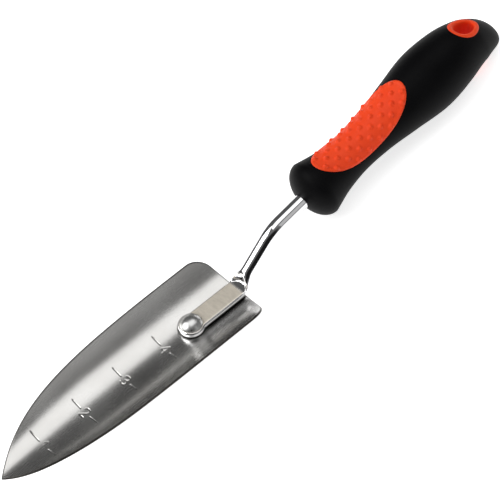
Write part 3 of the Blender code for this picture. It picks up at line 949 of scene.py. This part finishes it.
def polished_rivet(place):
    look = Look("polished_rivet", place)
    swirl = look.noise((900.0, 900.0, 900.0), detail=4.0)
    metal = look.blend(look.between(swirl, 0.0, 1.0, 0.3, 0.7), *RIVET_STEEL)
    look.feed(look.shader, {"Base Color": metal, "Metallic": 1.0,
                            "Roughness": look.between(swirl, 0.27, 0.36, 0.3, 0.7),
                            "Normal": look.bump(swirl, 0.05, SCRATCH_DEPTH)})
    return look.material


def moulded(name, colours, rough, shine, grain_size, strength):
    """A moulded plastic: spark-eroded grain, a slight mottle, and roughness that follows it."""
    look = Look(name)
    per_metre = 1.0 / (grain_size * MM)
    grain = look.noise((per_metre,) * 3, detail=3.0, roughness=0.6)
    mottle = look.noise((55.0, 55.0, 55.0), detail=3.0)
    colour = look.blend(look.between(mottle, 0.0, 1.0, 0.3, 0.7), *colours)
    look.feed(look.shader, {"Base Color": colour, "Specular IOR Level": shine,
                            "Roughness": look.between(grain, rough - 0.05, rough + 0.06, 0.3, 0.7),
                            "Normal": look.bump(grain, strength, GRAIN_DEPTH)})
    return look.material


# ---------------------------------------------------------------- studio

def add_area(name, position, target, size, power):
    light = bpy.data.lights.new(name, "AREA")
    light.shape = "RECTANGLE"
    light.size, light.size_y = size
    light.energy = power
    lamp = bpy.data.objects.new(name, light)
    lamp.location = position
    lamp.rotation_euler = (Vector(position) - Vector(target)).to_track_quat("Z", "X").to_euler()
    bpy.context.scene.collection.objects.link(lamp)


def make_studio():
    low, high = cad_box
    middle = (Vector(low) + Vector(high)) / 2
    blade_low, blade_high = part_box("blade")
    scoop = (Vector(blade_low) + Vector(blade_high)) / 2

    shape = bmesh.new()
    bmesh.ops.create_grid(shape, x_segments=1, y_segments=1, size=FLOOR_HALF)
    mesh = bpy.data.meshes.new("floor")
    shape.to_mesh(mesh)
    shape.free()
    floor = bpy.data.objects.new("floor", mesh)
    floor.location = (middle.x, middle.y, low[2] - FLOOR_DROP)
    bpy.context.scene.collection.objects.link(floor)
    paper = Look("floor_paper")
    fibres = paper.noise((150.0, 150.0, 150.0), detail=3.0)
    paper.feed(paper.shader, {"Base Color": paper.blend(fibres, *PAPER), "Roughness": 0.9,
                              "Emission Color": (1.0, 1.0, 1.0, 1.0),
                              "Emission Strength": FLOOR_GLOW})
    floor.data.materials.append(paper.material)

    world = bpy.data.worlds.new("studio")
    bpy.context.scene.world = world
    world.use_nodes = True
    sky = Nodes(world.node_tree)
    direction = sky.add("ShaderNodeTexCoord", {}).outputs["Generated"]
    across = sky.add("ShaderNodeSeparateXYZ", {"Vector": direction}).outputs["Y"]
    fade = sky.between(across, *SKY_STRENGTH, *SKY_FADE)
    towards_flag = sky.add("ShaderNodeVectorMath",
                           {0: direction, 1: Vector(FLAG_DIRECTION).normalized()},
                           operation="DOT_PRODUCT").outputs["Value"]
    shade = sky.between(towards_flag, 1.0, FLAG_LEAVES, *FLAG_EDGE,
                        interpolation_type="SMOOTHSTEP")
    sky.feed(sky.tree.nodes["Background"], {"Strength": sky.product(fade, shade),
                                            "Color": (1.0, 1.0, 1.0, 1.0)})

    add_area("key_softbox", (scoop.x + 0.55, scoop.y + 0.02, LAMP_HEIGHT),
             (scoop.x + 0.55, scoop.y + 0.02, 0.0), size=(1.3, 0.8), power=4.6)
    add_area("far_side_softbox", (scoop.x - 0.62, scoop.y + 0.45, LAMP_HEIGHT),
             (scoop.x, scoop.y, 0.0), size=(0.9, 0.9), power=11)
    rod = Vector((middle.x + 0.03, middle.y, 0.03))
    spot = rod + 0.95 * Vector((0.24, -0.82, 0.52))
    add_area("near_side_softbox", spot, rod, size=(0.7, 0.3), power=0.22)


def make_camera(place):
    """The camera, placed in the tool frame: its direction, distance, aim and roll."""
    back = Vector(CAMERA_BACK).normalized()
    along = Vector((1, 0, 0))
    level = (along - back * back.x).normalized()
    above = back.cross(level)
    roll = math.radians(CAMERA_ROLL)
    right = math.cos(roll) * level - math.sin(roll) * above
    up = math.sin(roll) * level + math.cos(roll) * above
    aim = Vector(CAMERA_AIM) + AIM_RIGHT * right + AIM_UP * up
    turn = Matrix((right, up, back)).transposed()
    lens = bpy.data.cameras.new("camera")
    lens.sensor_width = SENSOR
    lens.lens = LENS
    camera = bpy.data.objects.new("camera", lens)
    bpy.context.scene.collection.objects.link(camera)
    camera.matrix_world = place @ (Matrix.Translation((aim + back * CAMERA_DISTANCE) * MM)
                                   @ turn.to_4x4())
    bpy.context.scene.camera = camera


def main():
    bpy.context.scene.view_settings.view_transform = "Standard"
    tool = frame_from_mount("tang_top", (140, 0, TANG_TOP))
    grip = frame_from_mount("hang_hole", (HOLE_MIDDLE, 0, grip_height(HOLE_MIDDLE)))
    orange = moulded("orange_soft_plastic", ORANGE,
                     rough=0.55, shine=0.2, grain_size=0.22, strength=0.25)
    black = moulded("black_grip_plastic", BLACK,
                    rough=0.5, shine=0.05, grain_size=0.3, strength=0.2)
    hard = moulded("hard_core_plastic", CORE_GREY,
                   rough=0.5, shine=0.5, grain_size=0.5, strength=0.1)
    make_blade(tool, brushed_blade(tool))
    make_shank(tool, grip, plated_shank(tool))
    make_rivet(tool, polished_rivet(tool))
    make_sleeve(grip, tool, black)
    make_pad(grip, orange)
    make_bush(grip, orange)
    core = frame["nodes"]["grip_core"]
    core.data.materials.clear()
    core.data.materials.append(hard)
    make_studio()
    make_camera(tool)


main()
